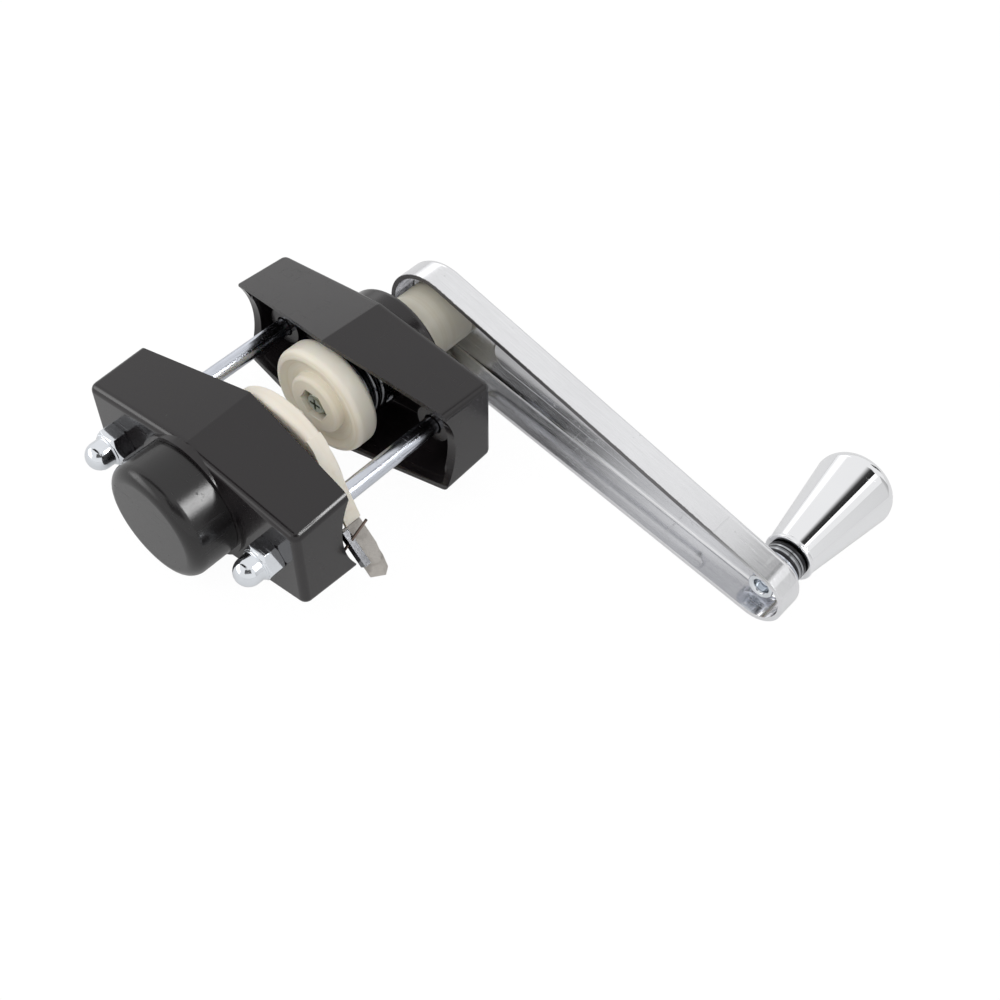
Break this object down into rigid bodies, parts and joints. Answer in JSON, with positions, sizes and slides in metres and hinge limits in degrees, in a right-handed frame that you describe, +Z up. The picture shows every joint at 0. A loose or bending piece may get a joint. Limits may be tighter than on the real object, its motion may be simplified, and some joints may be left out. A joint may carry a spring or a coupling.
{
  "type": "crank handle",
  "caption": "Pole-mounted crank winch with clamp halves, cord spool, wrap-spring brake, channel arm and turning knob.",
  "frame": {"origin": "where the axis of the pole crosses the crank axis, midway between the two housings", "axes": "+X along the pole towards the knob end, +Y along the crank axis towards the crank, +Z up as the part lies"},
  "size_m": [0.1752, 0.1627, 0.0614],
  "materials": {
    "black_plastic": "glossy moulded black plastic",
    "cream_nylon": "natural nylon, satin",
    "hub_nylon": "aged natural nylon, satin",
    "zinc_steel": "bright zinc plate",
    "nut_chrome": "bright nickel plate",
    "dull_zinc": "dull grey-green zinc",
    "dark_steel": "oiled black steel",
    "arm_chrome": "chromed pressed steel",
    "knob_chrome": "polished chrome",
    "bearing_plastic": "black bearing plastic",
    "bronze": "sintered bronze",
    "cord_fabric": "grey-white woven cord end",
    "brown_steel": "browned steel wire"
  },
  "bodies": {
    "clamp_body": {"rear_housing": "black_plastic", "bolt_a": "zinc_steel", "bolt_b": "zinc_steel", "rear_bush": "bearing_plastic", "brake_spring": "dark_steel", "thrust_washer": "zinc_steel"},
    "front_half": {"front_housing": "black_plastic", "front_cap": "black_plastic", "front_bush": "bronze", "cord_guide": "cream_nylon", "cord_tab": "cord_fabric", "cord_pin": "brown_steel", "cord_clip": "dark_steel", "cap_nut_a": "nut_chrome", "cap_nut_b": "nut_chrome"},
    "front_spool_body": {"front_spool": "cream_nylon", "spool_clip": "zinc_steel"},
    "crank": {"drive_shaft": "dull_zinc", "brake_drum": "dark_steel", "rear_spool": "cream_nylon", "spool_screw": "dull_zinc", "crank_hub": "hub_nylon", "crank_arm": "arm_chrome", "arm_washer": "zinc_steel", "arm_screw": "zinc_steel", "knob_pin": "zinc_steel", "knob_washer": "zinc_steel", "knob_collar": "dark_steel"},
    "grip": {"knob": "knob_chrome", "knob_bush": "cream_nylon"}
  },
  "joints": [
    {"name": "clamp_slide", "type": "slide", "parent": "clamp_body", "child": "front_half", "axis": [0, 1, 0], "range_m": [0, 0.005]},
    {"name": "front_spool_turn", "type": "hinge", "parent": "front_half", "child": "front_spool_body", "pos_m": [0, 0, 0], "axis": [0, 1, 0], "continuous": true},
    {"name": "crank_turn", "type": "hinge", "parent": "clamp_body", "child": "crank", "pos_m": [0, 0, 0], "axis": [0, 1, 0], "continuous": true},
    {"name": "knob_spin", "type": "hinge", "parent": "crank", "child": "grip", "pos_m": [0.1218, 0, -0.02812], "axis": [0, 1, 0], "continuous": true}
  ]
}
